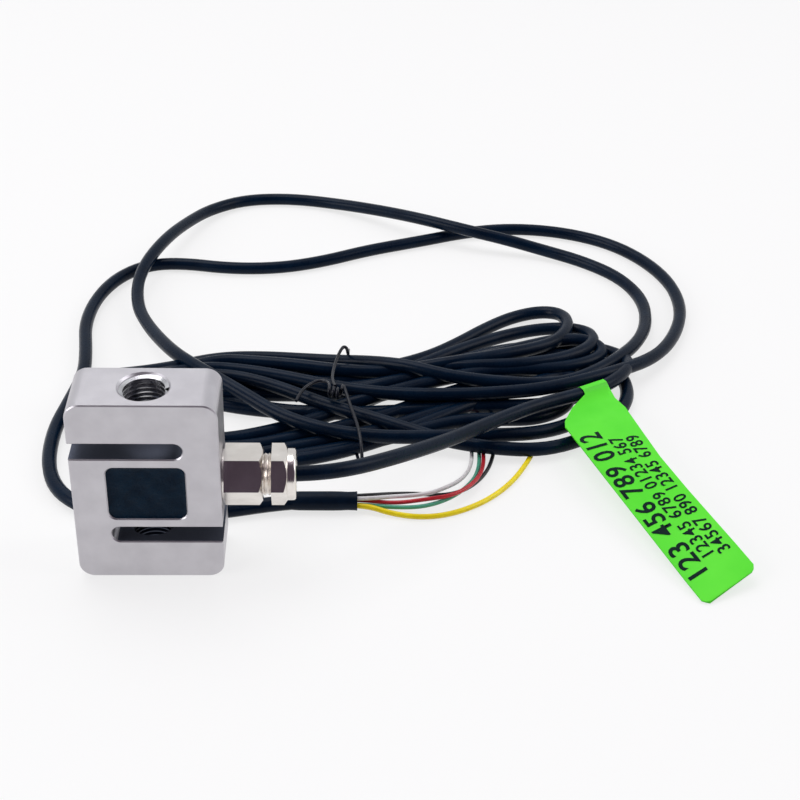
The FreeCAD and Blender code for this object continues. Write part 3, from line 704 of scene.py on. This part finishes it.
# The signal cable in the order in which it was wound, from the gland to its stripped end.
CABLE_ROUTE: list[Point | Spot] = [
    # from the gland to the hank
    (12.5, 0, 25.55), (22, 0, 25.6), (38.5, 0, 25.6), (49, 3.5, 24.6), (58.5, 11.2, 22),
    (67.2, 20.8, 18.2), (76, 31, 14.4), (85, 41.2, 11.4), (94, 50.4, 9.2), (103.5, 58, 7.9),
    (113.5, 63.6, 7.2), (123.4, 68.6, 6.8),
    # first run, along the back and to the front
    (130.4, 75.6, 6.4), (134.8, 83.4, 5.6), (135.3, 91, 3.6), (131.2, 97.4, 2.3), (124, 100.6),
    (115, 100.6), (105, 98.8, 2.6), (94, 94.6, 3.3), (82, 88.6, 3.3), (70.6, 80.8, 2.4),
    (60, 72.6), (49, 64.6), (38, 58), (27, 52.6), (16, 48.8), (5.4, 47, 2.8), (-4, 48.6, 4.8),
    (-11.4, 53.8, 6.2), (-14.2, 61.6, 6.2), (-10.8, 69.2, 6.2), (-2.4, 74.2, 6.2),
    # second run, along the front edge
    (8.2, 76.4, 6.2), (18, 75, 6.1), (28, 71, 5.7), (36.6, 66.2, 5.2), (44.6, 61.6, 4.9),
    (54, 57, 4.9), (64.6, 51.6, 4.6), (77, 45.8, 3.8), (90, 43, 3.4), (103, 42.8, 2.8),
    (114.6, 48, 2.1), (123.4, 55.8), (130, 64), (133.6, 73.6), (133.2, 83), (128.6, 90.6),
    (120.6, 94.8), (111, 95.4, 2.2),
    # third run
    (101, 92.6, 2.9), (91, 88.6, 3.4), (80, 83.4, 4), (69, 78.2, 4.6), (58, 73.8, 4.2),
    (46, 71.2, 2.6), (31, 71.8), (17, 72.2), (4, 71.6), (-8, 69), (-17.6, 62), (-21.6, 52),
    (-19.4, 41.6), (-11.4, 34.6), (-1, 32), (9.6, 32.6),
    # fourth run, inside the front
    (20.8, 35.6), (33, 40), (46, 44), (58, 48.4, 2.1), (70, 53, 2.7), (82, 57.2, 3.3),
    (93.6, 57.8, 3.2), (104, 59, 2.5), (112.4, 64.6), (116.2, 71.6), (112.6, 78.2, 2.1),
    (104.4, 77.6, 2.5),
    # fifth run, inside the front
    (94.6, 72.4, 3.3), (84, 66.8, 3.3), (73, 60.8, 2.6), (61, 54.6, 2.1), (47.4, 49.4),
    (33.6, 44.8), (20.8, 40.2), (9, 37.6), (-2, 39), (-10.8, 45), (-14.4, 54), (-11, 62.4),
    (-2, 67), (8, 68),
    # a run through the middle and its return, both guessed, where the hank looks dense
    (19, 64.6), (31, 62.6), (43, 62.2), (56, 62.6), (69, 63.6, 2.3), (81, 64.8, 2.8),
    (93, 65.6, 2.6), (104, 66.8), (113.4, 69), (120, 73.4), (121, 80.8), (114, 84, 2.2),
    # its return along the front
    (102.4, 76, 2.8), (92, 69.2, 3.2), (81, 62.4, 3.2), (69, 54.6, 2.6), (56, 47.2), (43, 41),
    (30, 37.8), (17, 36.6), (4, 36.4), (-7, 39.4), (-14.6, 46.4), (-16.4, 55.4), (-12.6, 63.6),
    (-3, 67.4), (8, 67),
    # sixth run and its small end loop
    (19, 66.8), (30.6, 63.2), (41, 62.4, 2.2), (51, 64.8, 4.2), (62, 69.2, 4.9), (74, 74.8, 5.2),
    (88, 79.6, 5.4), (100, 81.8, 5.2), (113, 83.6, 4.6), (121.6, 86.6, 4.3), (127.4, 91, 4.2),
    (128.6, 96.4, 4.1), (123.8, 100.2, 4.8), (115.6, 98.8, 5.6),
    # seventh run
    (106, 94.6, 5.8), (96, 90.2, 5.8), (84, 85, 5.6), (72, 80.4, 4.4), (60, 76.6, 3), (46, 75),
    (31, 75.6), (17, 76), (4, 74.6), (-8, 70.4), (-18.4, 64.2), (-22.4, 61.2), (-26.6, 64.4),
    (-26.6, 70.8), (-22, 75.4), (-17, 78), (-7, 81), (2, 85),
    # eighth run and its end loop
    (11, 88.6), (24, 88.2), (36, 87.2), (47, 85.4, 2.4), (57, 83.6, 3.6), (66, 82.6, 4.6),
    (76, 82, 5.6), (88, 81.2, 6.8), (101, 82.4, 6.6), (113, 86.4, 5.8), (121.6, 91.4, 5.6),
    (126.4, 98.2, 5.2), (126, 105.6, 4.2), (119.6, 110.4, 3), (110, 110.6, 2.3),
    # ninth run
    (100, 106.8, 2.3), (90, 100.6, 2.8), (80, 93.6, 3), (69, 86.4, 2.4), (57.5, 81), (46, 79.2),
    (31, 79.8), (17, 80.2), (6, 78, 3.6), (-5, 72.4, 5.4), (-15, 65.6, 6.2), (-21, 60, 6.2),
    (-26, 60.8, 6.2), (-27.4, 66, 6.2), (-23, 70.4, 6.2), (-17, 71.8, 6.2), (-7, 75, 6.2),
    (2, 80.4, 6),
    # tenth run and the largest end loop
    (11, 85.2, 5.8), (22, 84.4, 5.6), (34, 83, 5.5), (46, 80.6, 5.3), (57, 80.4, 4.8),
    (67, 81.4, 5), (79, 82.2, 7), (91, 85, 7.4), (102.6, 89.4, 7), (112, 94.6, 6.4),
    (117.4, 101.4, 6), (119.8, 110, 5.2), (118.4, 117.8, 4), (111.6, 121, 2.8), (102, 117.8, 2.2),
    # eleventh run, along the back edge
    (92.6, 110.2, 2.1), (84, 101.6, 2.1), (75, 94, 2.1), (65, 88.6, 2.1), (55, 85.4), (44, 83.8),
    (31, 84), (17, 84.2), (7, 82, 4.4), (-3, 75, 8), (-12, 66, 10.2), (-19, 59.4, 10.3),
    (-24.6, 58.8, 10.3), (-26.8, 63.6, 10.3), (-22.8, 68.4, 10.3), (-16.6, 70, 10), (-8, 74, 8.8),
    (0, 80.8, 6.4), (6.6, 88, 3.8),
    # twelfth run, on top of the back
    (14, 92.4, 2.2), (25, 92.8), (36, 91.8), (46.6, 89.4, 3), (56.6, 84.6, 5.8), (67, 79, 8.2),
    (78.6, 74.6, 7.4), (90, 73, 6.6), (104, 73, 5.6), (114.6, 74.8, 5.2), (124.4, 80.6, 5.4),
    # the inner loop behind the hank
    (133, 89.2, 5.2), (140.4, 100, 3.8), (146, 114, 2.4), (147.6, 130.5, 2.1), (142.4, 145.6, 2.1),
    (131.4, 157, 2.1), (118, 164, 2.8), (105, 167, 5.3), (92, 170.2, 7), (75.5, 179.2, 7),
    (62, 190, 4.6), (47, 199.5, 2.4), (29.5, 204.2, 2.1), (12.5, 202.8, 2.1), (0.5, 193.5, 2.6),
    (-6, 180, 4.6), (-11.8, 163.5, 7), (-17, 146.5, 7), (-19.2, 134, 5.2), (-17.6, 120, 4),
    (-13.2, 107.6, 4.8), (-8, 95.9, 6.4),
    # thirteenth run, across to the front
    (-2, 84.2, 8.4), (5.3, 74.8, 9.6), (19.4, 63.2, 8), (29, 55.4, 6.3), (39, 50, 5.8),
    (49.6, 47, 5.3), (62, 45.8, 5), (76, 47, 4.6), (89, 48.6, 4), (101, 50.6, 3),
    (111.4, 55.2, 2.1), (119.6, 61.8), (125.4, 71.4), (126.8, 79.4), (122.6, 85.8),
    (114.6, 87.4, 2.2),
    # fourteenth run, back along the front
    (105, 84.2, 2.8), (95, 79.4, 3.3), (84, 74, 3.3), (73, 68.4, 2.9), (61, 61.6, 2.2), (48, 55.2),
    (34.6, 50), (21.6, 45), (10, 42.8, 3.2), (-1, 43.6, 5.4), (-10.8, 47.4, 6.8),
    (-18.2, 53.6, 7.4), (-18.8, 61.4, 8), (-12, 68, 8.6), (-2, 74.2, 8.2),
    # fifteenth run, on top
    (8.4, 79.6, 6.6), (20, 78.4, 6.15), (31.4, 75.2, 6.1), (43, 70.8, 6.1), (55, 67.4, 6.2),
    (67, 65.8, 6.4), (80, 65.4, 6.6), (94, 66.6, 6.6), (107, 69.2, 6.4), (119.4, 73.6, 6.6),
    # the outer loop and the tail along the block
    (131.5, 79.8, 6.4), (144.6, 91.6, 3.6), (153.6, 106.4, 2.3), (159.2, 123, 2.1),
    (159.3, 141, 2.1), (153, 158, 2.1), (142, 171.5, 2.1), (126, 179.5, 2.1), (108.5, 181.8, 2.1),
    (92, 178.4, 2.1), (75, 171, 2.1), (57, 164, 2.1), (41.5, 155.5, 2.1), (26.5, 150.4, 2.1),
    (10, 149.8, 2.1), (-6.5, 153.4, 2.1), (-18, 151.8, 2.1), (-27, 142.5, 2.1), (-32.2, 128, 2.1),
    (-33.4, 112, 2.1), (-31, 97.1, 2.1), (-29.5, 82.7, 2.1), (-31.7, 67.9, 2.1), (-34, 53.5, 2.1),
    (-33.2, 36.5, 2.1), (-29, 24.5, 2.1), (-20.5, 16.6, 2.1), (-8.5, 14, 2.1), (4.5, 13.9, 2.1),
    (16.5, 15.5, 2.1), (26.8, 17.9, 2.3), (36.9, 19.3, 2.6), (47, 19.4, 2.6),
]
CORE_ROUTES: dict[str, list[Point | Spot]] = {
    "black": [
        (46.8, 20.27, 3.35), (54.3, 20.6, 3.55), (60.9, 23.8, 1.7), (68.0, 25.4),
        (75.5, 24.4), (82.0, 27.4), (87.6, 34.5), (90.6, 44.0),
        (92.0, 56.0), (91.2, 70.0), (92.6, 84.0), (92.2, 95.0)],
    "white": [
        (46.8, 18.97, 3.55), (53.5, 19.05, 3.6), (61.0, 20.4, 3.3), (70.0, 22.4, 2.5),
        (76.4, 26.0, 2.4), (81.2, 31.2, 1.7), (84.0, 39.2, 0.75), (84.6, 50.0),
        (81.0, 62.0), (81.6, 74.0)],
    "green": [
        (46.8, 19.62, 1.35), (54.0, 19.45, 1.28), (61.8, 17.5, 1.8), (70.0, 17.8, 1.9),
        (77.6, 22.0, 1.95), (83.2, 28.8, 1.85), (86.0, 37.5, 0.9), (86.6, 48.5),
        (84.0, 61.0), (85.0, 74.0), (84.8, 86.0)],
    "red": [
        (46.8, 20.62, 2.15), (54.0, 20.4, 2.1), (61.5, 18.8, 2.2), (70.0, 19.6, 3.0),
        (78.0, 21.2, 3.3), (84.2, 28.2, 2.65), (87.1, 37.0, 1.45), (87.8, 47.5),
        (87.2, 60.0), (88.4, 73.5), (88.0, 88.0), (89.2, 97.5)],
    "yellow": [
        (46.8, 18.45, 2.08), (54.0, 18.25, 2.05), (60.5, 16.0, 1.0), (68.5, 14.5, 0.8),
        (77.0, 16.0, 0.8), (86.5, 21.6, 0.8), (94.4, 30.2, 0.8), (99.9, 40.4, 0.8),
        (101.6, 44.8, 0.8), (102.2, 48.6, 0.8)],
}
TIE_ROUTE: list[Point] = [
    (34.5, 58.4, 8.8), (35.8, 62.9, 9.3), (38.3, 66.2, 9.6), (41.2, 68, 9.8),
    (43.6, 66.7, 10), (44.1, 62.4, 11.3), (43.8, 60.8, 10.6), (43.9, 61, 8.9),
    (44.4, 62.4, 8.2), (45.1, 63.3, 9.5), (45.3, 62.7, 11), (45.1, 60.9, 10.9),
    (45, 60.5, 9.3), (45.4, 61.5, 8.1), (46.1, 63, 8.7), (46.4, 62.7, 10.4),
    (46.3, 61.2, 11.1), (46.1, 60.1, 9.7), (46.3, 60.7, 8.2), (47, 62.3, 8.1),
    (47.5, 62.7, 9.7), (47.5, 61.5, 10.9), (47.9, 64.7, 10.6), (48.5, 61.5, 10.6),
    (49.3, 58.6, 9.8), (50, 55.3, 9.2), (51, 51.3, 8.8), (52.3, 44.7, 8.2),
    (52.8, 40.3, 7.2), (53.1, 36.9, 5.2), (53.1, 35.7, 2), (52.7, 37.9, 0.45),
    (49.4, 60, 0.4), (49, 78, 0.4), (49.2, 90, 0.4), (49.6, 94.6, 1.2), (49.8, 95.4, 4.2),
    (49.5, 83.3, 9), (49.2, 84.7, 10.6), (48.1, 85.1, 11), (46.9, 82.7, 10.4),
    (45.9, 78.6, 9.8), (45, 73.3, 9.6), (44.7, 66.6, 10.4), (45.6, 63, 11)]
# The flag label's section, as left and right edges: its upper half from the far end to the
# lead, the wrap round the lead, and the corner of its lower half that rests on the table.
LABEL_UPPER: list[tuple[Point, Point]] = [
    ((139.2, -19.4, 0.9), (150.9, -11.9, 4.2)),
    ((138.1, -19.4, 0.8), (151.5, -11.0, 4.5)),
    ((137.1, -18.9, 0.8), (151.7, -9.7, 4.8)),
    ((134.0, -12.2, 1.9), (148.8, -3.6, 5.9)),
    ((129.7, -2.6, 3.6), (144.7, 5.2, 7.2)),
    ((124.2, 10.5, 5.4), (139.7, 17.9, 8.0)),
    ((118.5, 24.6, 7.0), (135.0, 32.1, 8.3)),
    ((113.9, 37.0, 7.9), (132.0, 45.0, 8.2)),
    ((110.7, 47.9, 7.5), (129.9, 55.2, 7.8)),
    ((111.0, 50.7, 7.4), (129.5, 57.5, 7.7)),
    ((113.9, 57.3, 7.6), (127.2, 62.7, 7.6)),
]
LABEL_WRAP: list[tuple[Point, Point]] = [
    ((118.5, 63.7, 8.2), (126.2, 68.4, 7.8)),
    ((117.9, 64.7, 9.2), (125.6, 69.4, 8.9)),
    ((117.1, 66.0, 9.2), (124.8, 70.8, 8.9)),
    ((116.5, 67.0, 8.2), (124.1, 71.8, 7.8)),
    ((116.3, 67.2, 6.5), (123.9, 71.9, 6.1)),
    ((116.8, 66.2, 5.1), (124.4, 71.0, 4.7)),
    ((117.7, 64.8, 4.8), (125.4, 69.5, 4.5)),
    ((118.5, 63.6, 5.9), (126.1, 68.4, 5.6)),
]
LABEL_LOWER_END: tuple[Point, Point] = ((139.2, -19.4, 0.2), (150.9, -11.9, 3.9))
LABEL_DROP = 0.3


def label_section() -> list[tuple[Point, Point]]:
    """The whole label: upper half, wrap, and the lower half stuck under the upper one."""
    lower = [tuple((x, y, round(z - LABEL_DROP, 1)) for x, y, z in row)
             for row in reversed(LABEL_UPPER[1:])]
    return LABEL_UPPER + LABEL_WRAP + lower + [LABEL_LOWER_END]


# ------------------------------------------------------------------ block
@dataclass
class SpringBody:
    """The S-shaped block with its two threaded holes and its potted window."""

    height: float = 51.2
    thread_depth: float = 10.6
    thread_radius: float = 6.0
    ridge_radius: float = 5.1
    pitch: float = 1.25
    window: tuple[float, float] = (19.0, 15.2)
    window_corner: float = 2.0
    face: float = 8.5
    recess: float = 0.6
    pour_depth: float = 4.0
    pour_level: float = 0.12
    wave_height: float = 0.09
    creep: float = 0.42
    thread_bite: float = 0.05
    flank_gap: float = 0.04
    crest_half: float = 0.16
    lead_in: float = 0.15

    def build_thread(self, name: str, mouth: float, inwards: float,
                     finish: Finish = Finish.THREAD) -> None:
        """Cut ridges that wind down one hole.

        Args:
            name: the name of the piece.
            mouth: the height of the hole's mouth, in millimetres.
            inwards: 1 where the hole goes up, -1 where it goes down.
            finish: its finish.
        """
        nothing_selected()
        bpy.ops.mesh.primitive_circle_add(vertices=4, radius=1, fill_type="NOTHING")
        ridge = bpy.context.object
        half = self.pitch / 2
        root, crest = self.thread_radius + self.thread_bite, self.ridge_radius
        section = ((root, -half + self.flank_gap), (root, half - self.flank_gap),
                   (crest, self.crest_half), (crest, -self.crest_half))
        start = mouth + inwards * (half + self.lead_in)
        for vertex, (out, up) in zip(ridge.data.vertices, section):
            vertex.co = Vector((out, 0, start + up)) * MM
        screw = ridge.modifiers.new("winding", "SCREW")
        screw.axis = "Z"
        turns = int((self.thread_depth - self.pitch) / self.pitch)
        screw.angle = math.tau
        screw.iterations = turns
        screw.screw_offset = inwards * self.pitch * MM
        screw.steps = screw.render_steps = 48
        apply_modifiers(ridge)
        settle(ridge, name)
        outward(ridge)
        smooth(ridge, 40)
        fit(ridge, finish)

    def build_pour(self, name: str, side: int, node: str) -> None:
        """Pour sealing compound into one side of the window.

        Args:
            name: the name of the piece.
            side: -1 at the front, 1 at the back.
            node: the CAD node that it stands for.
        """
        nothing_selected()
        width, height = self.window
        surface = self.face - self.recess
        bpy.ops.mesh.primitive_grid_add(
            x_subdivisions=38, y_subdivisions=30, size=1,
            location=(0, side * surface * MM, self.height / 2 * MM),
            rotation=(math.pi / 2, 0, 0))
        bpy.context.object.scale = (width * MM, height * MM, 1)
        pour = settle(bpy.context.object, name)
        self.round_corners(pour)
        edit_all(pour, "FACE")
        bpy.ops.mesh.extrude_region_move(
            TRANSFORM_OT_translate={"value": (0, -side * self.pour_depth * MM, 0)})
        done_editing()
        self.ripple(pour, side, surface)
        outward(pour)
        smooth(pour, 60)
        fit(pour, Finish.POUR, [node])

    def round_corners(self, pour: bpy.types.Object) -> None:
        """Draw a flat sheet's corners in to the window's radius."""
        width, height = self.window
        inner = (width / 2 - self.window_corner, height / 2 - self.window_corner)
        for vertex in pour.data.vertices:
            point = vertex.co / MM
            over = Vector((max(abs(point.x) - inner[0], 0),
                           max(abs(point.z - self.height / 2) - inner[1], 0)))
            if over.x <= 0 or over.y <= 0:
                continue
            reach = max(over.x, over.y) / over.length
            vertex.co.x = math.copysign(inner[0] + over.x * reach, point.x) * MM
            vertex.co.z = (self.height / 2 + math.copysign(
                inner[1] + over.y * reach, point.z - self.height / 2)) * MM

    def ripple(self, pour: bpy.types.Object, side: int, surface: float) -> None:
        """Let the poured face creep up its walls and lie in slow waves."""
        width, height = self.window
        for vertex in pour.data.vertices:
            point = vertex.co / MM
            if abs(point.y * side - surface) > 0.01:
                continue
            u, v = point.x, point.z - self.height / 2
            edge = min(width / 2 - abs(u), height / 2 - abs(v))
            wave = (math.sin(u * 0.9 + 1.3 * side) * math.cos(v * 0.8 + 0.4)
                    + 0.6 * math.sin(u * 1.9 - v * 1.5 + side))
            creep = self.creep * (math.exp(-max(edge, 0) / 0.5) if edge > 0.05 else 1)
            level = (surface - self.pour_level
                     + self.wave_height * wave * min(1.0, max(edge, 0) / 1.5) + creep)
            vertex.co.y = side * min(level, self.face - 0.06) * MM

    def build(self) -> None:
        """Dress the block, cut its threads and fill its window."""
        dress_node("spring_body", Finish.BLOCK)
        self.build_thread("upper_thread_ridges", self.height, -1)
        self.build_thread("lower_thread_ridges", 0.0, 1, Finish.SHADED_THREAD)
        self.build_pour("front_pour", -1, "front_potting")
        self.build_pour("rear_pour", 1, "rear_potting")


@dataclass
class BridgeCircuit:
    """The strain gauges, the terminal board and the leads inside the window."""

    def build(self) -> None:
        """Dress the sealed parts, which keep their shapes."""
        for level in ("upper", "lower"):
            for side in ("left", "right"):
                dress_node(f"strain_gauge_{level}_{side}", Finish.FOIL)
        dress_node("terminal_board", Finish.BOARD)
        dress_node("zero_trim_resistor", Finish.CERAMIC)
        dress_node("span_trim_resistor", Finish.CERAMIC)
        for colour, finish in (("red", Finish.RED), ("black", Finish.BLACK),
                               ("green", Finish.GREEN), ("white", Finish.WHITE)):
            dress_node(f"inner_core_{colour}", finish)


# ------------------------------------------------------------------ gland
@dataclass
class CableGland:
    """The nickel-plated gland: washer, hexagon, threaded neck, seal, ring and nut."""

    axis_height: float = 25.6
    neck_start: float = 27.95
    neck_end: float = 29.95
    root_radius: float = 4.98
    crest_radius: float = 5.32
    ridges: int = 2
    depth: float = 0.3
    gap: float = 0.02

    def build(self) -> list[bpy.types.Object]:
        """Dress the gland's parts and cut the thread that shows on its neck.

        Returns:
            The new pieces.
        """
        for node in ("gland_washer", "gland_body", "gland_slip_ring", "gland_nut"):
            dress_node(node, Finish.NICKEL)
        dress_node("gland_seal", Finish.RUBBER)
        half = (self.neck_end - self.neck_start) / (2 * self.ridges)
        profile = []
        for number in range(self.ridges):
            start = self.neck_start + number * 2 * half
            profile += [(start + self.gap, self.root_radius), (start + half, self.crest_radius)]
        inner = self.root_radius - self.depth
        profile += [(self.neck_end - self.gap, self.root_radius),
                    (self.neck_end - self.gap, inner), (self.neck_start + self.gap, inner)]
        ridges = turned("neck_thread_ridges", profile,
                        Vector((0, 0, self.axis_height)) * MM, Vector((1, 0, 0)))
        fit(ridges, Finish.NICKEL)
        return [ridges]


# ------------------------------------------------------------------ cable
@dataclass
class SignalCable:
    """The screened cable: one length from the gland, through the hank, to its end."""

    diameter: float = 4.1
    exit: Point = (36.1, 0.0, 25.6)

    def build(self) -> bpy.types.Object:
        """Lay the cable along its route."""
        cable = strand("signal_cable", laid(CABLE_ROUTE, CABLE_LIES), self.diameter, 5, 3)
        fit(cable, Finish.JACKET,
            ["cable_lead", "cable_hank", "cable_inner_loop", "cable_outer_loop"])
        return cable

    def declare(self, cable: bpy.types.Object, pieces: list) -> None:
        """Say what the cable is.

        Args:
            cable: its piece.
            pieces: the separate pieces that sit on it; not used.
        """
        length = length_of(centreline(cable))
        LOG.info("signal cable %.3f m", length)


@dataclass
class ShrinkSleeve:
    """The heat-shrunk sleeve at the stripped end of the cable."""

    start: Point = (33.6, 19.38, 2.6)
    profile: tuple[tuple[float, float], ...] = (
        (0.0, 2.06), (0.05, 2.3), (0.9, 2.46), (2.6, 2.56), (6.0, 2.58), (11.5, 2.6),
        (13.6, 2.56), (15.6, 2.46), (17.4, 2.52), (18.0, 2.6), (18.02, 2.3), (17.2, 2.2),
        (13.2, 2.16), (12.9, 2.06))

    def build(self) -> bpy.types.Object:
        """Turn the sleeve, with its eased mouth, and set it on the cable's end."""
        sleeve = turned("shrunk_sleeve", self.profile, Vector(self.start) * MM,
                        Vector((1, 0.0, 0)), 40)
        return fit(sleeve, Finish.SHRINK, ["heat_shrink_sleeve"])


@dataclass
class CableCores:
    """The four insulated cores and the screen's yellow sleeve at the stripped end."""

    diameter: float = 1.15
    screen_diameter: float = 1.5

    def build(self) -> None:
        """Lay each core along its route and say what it is."""
        for colour, finish in (("black", Finish.BLACK), ("white", Finish.WHITE),
                               ("green", Finish.GREEN), ("red", Finish.RED),
                               ("yellow", Finish.YELLOW)):
            across = self.screen_diameter if colour == "yellow" else self.diameter
            core = strand(f"{colour}_core", laid(CORE_ROUTES[colour], CORE_LIES), across, 6, 2)
            fit(core, finish, [f"core_{colour}"])
            line = centreline(core)


@dataclass
class WireTie:
    """The plastic-coated wire that holds the hank, twisted on top."""

    diameter: float = 1.0

    def build(self) -> bpy.types.Object:
        """Bend the wire round the hank and twist its ends."""
        tie = strand("twisted_wire_tie", TIE_ROUTE, self.diameter, 4, 2)
        return fit(tie, Finish.WIRE, ["wire_tie"])


# ------------------------------------------------------------------ label
@dataclass
class FlagLabel:
    """The folded film label: wrapped round the lead, its two halves stuck together."""

    width: float = 17.0
    thickness: float = 0.12
    steps_across: int = 8
    lift: float = 0.13
    boldness: float = 0.016
    letter_space: float = 1.1
    flat: tuple[float, float] = (20.6, 186.2)
    area: float = 3104
    # the words, their size, and their place across and along the flag
    lines: tuple[tuple[str, float, float, float], ...] = (
        ("123 456 789 012", 8.0, 6.4, 6.0), ("12345 6789 01234 567", 5.0, 10.9, 10.0),
        ("34567 890 12345 6789", 5.0, 15.2, 9.0))

    def on_flag(self, along: float, across: float) -> Vector:
        """The place on the flag's printed side.

        Args:
            along: millimetres from the far end towards the lead.
            across: millimetres from the left edge.
        Returns:
            The place, in metres.
        """
        rows = [[Vector(p) for p in row] for row in LABEL_UPPER[:-1]]
        for near, far in zip(rows, rows[1:]):
            step = (near[0].lerp(near[1], 0.5) - far[0].lerp(far[1], 0.5)).length
            if along <= step or far is rows[-1]:
                break
            along -= step
        share = across / self.width
        start, end = near[0].lerp(near[1], share), far[0].lerp(far[1], share)
        up = (near[1] - near[0]).cross(far[0] - near[0]).normalized()
        up = up if up.z > 0 else -up
        return (start.lerp(end, along / step) + up * self.lift) * MM

    def print_lines(self) -> list[bpy.types.Object]:
        """Print lines of plain numbers along the flag."""
        printed = []
        for number, (words, size, across, along) in enumerate(self.lines, 1):
            nothing_selected()
            bpy.ops.object.text_add()
            line = bpy.context.object
            line.data.body = words
            line.data.size = size
            line.data.resolution_u = 3
            line.data.offset = self.boldness * size
            line.data.space_character = self.letter_space
            bpy.ops.object.convert(target="MESH")
            line = settle(bpy.context.object, f"flag_numbers_{number}")
            for vertex in line.data.vertices:
                vertex.co = self.on_flag(along + vertex.co.x, across - vertex.co.y)
            printed.append(fit(line, Finish.PRINT))
        return printed

    def declare(self, film: bpy.types.Object, printed: list) -> None:
        """Take the film and its print, and do nothing with them.

        Args:
            film: the label's piece; not used.
            printed: the pieces on it; not used.
        """

    def build(self) -> bpy.types.Object:
        """Fold the film round the lead and lay its far end on the standing surface."""
        nothing_selected()
        section = label_section()
        bpy.ops.mesh.primitive_grid_add(
            x_subdivisions=self.steps_across, y_subdivisions=len(section) - 1, size=1)
        film = bpy.context.object
        film.name = "label_film"
        columns = self.steps_across + 1
        for number, vertex in enumerate(film.data.vertices):
            row, column = divmod(number, columns)
            left, right = (Vector(p) * MM for p in section[row])
            vertex.co = left.lerp(right, column / self.steps_across)
        solid = film.modifiers.new("film", "SOLIDIFY")
        solid.thickness = self.thickness * MM
        solid.offset = 0
        apply_modifiers(film)
        settle(film, "label_film")
        outward(film)
        smooth(film, 40)
        return fit(film, Finish.LABEL, ["flag_label"])


def main() -> None:
    """Build the studio and the load cell."""
    logging.basicConfig(level=logging.INFO, format="%(message)s")
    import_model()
    Studio().build()
    cable = SignalCable()
    lead = cable.build()
    CableCores().build()
    SpringBody().build()
    BridgeCircuit().build()
    on_cable = CableGland().build()
    on_cable += [ShrinkSleeve().build(), WireTie().build()]
    label = FlagLabel()
    film = label.build()
    printed = label.print_lines()
    label.declare(film, printed)
    cable.declare(lead, on_cable + ["gland_nut", "gland_slip_ring", "gland_seal"])
    LOG.info("load cell ready")


if __name__ == "__main__":
    main()
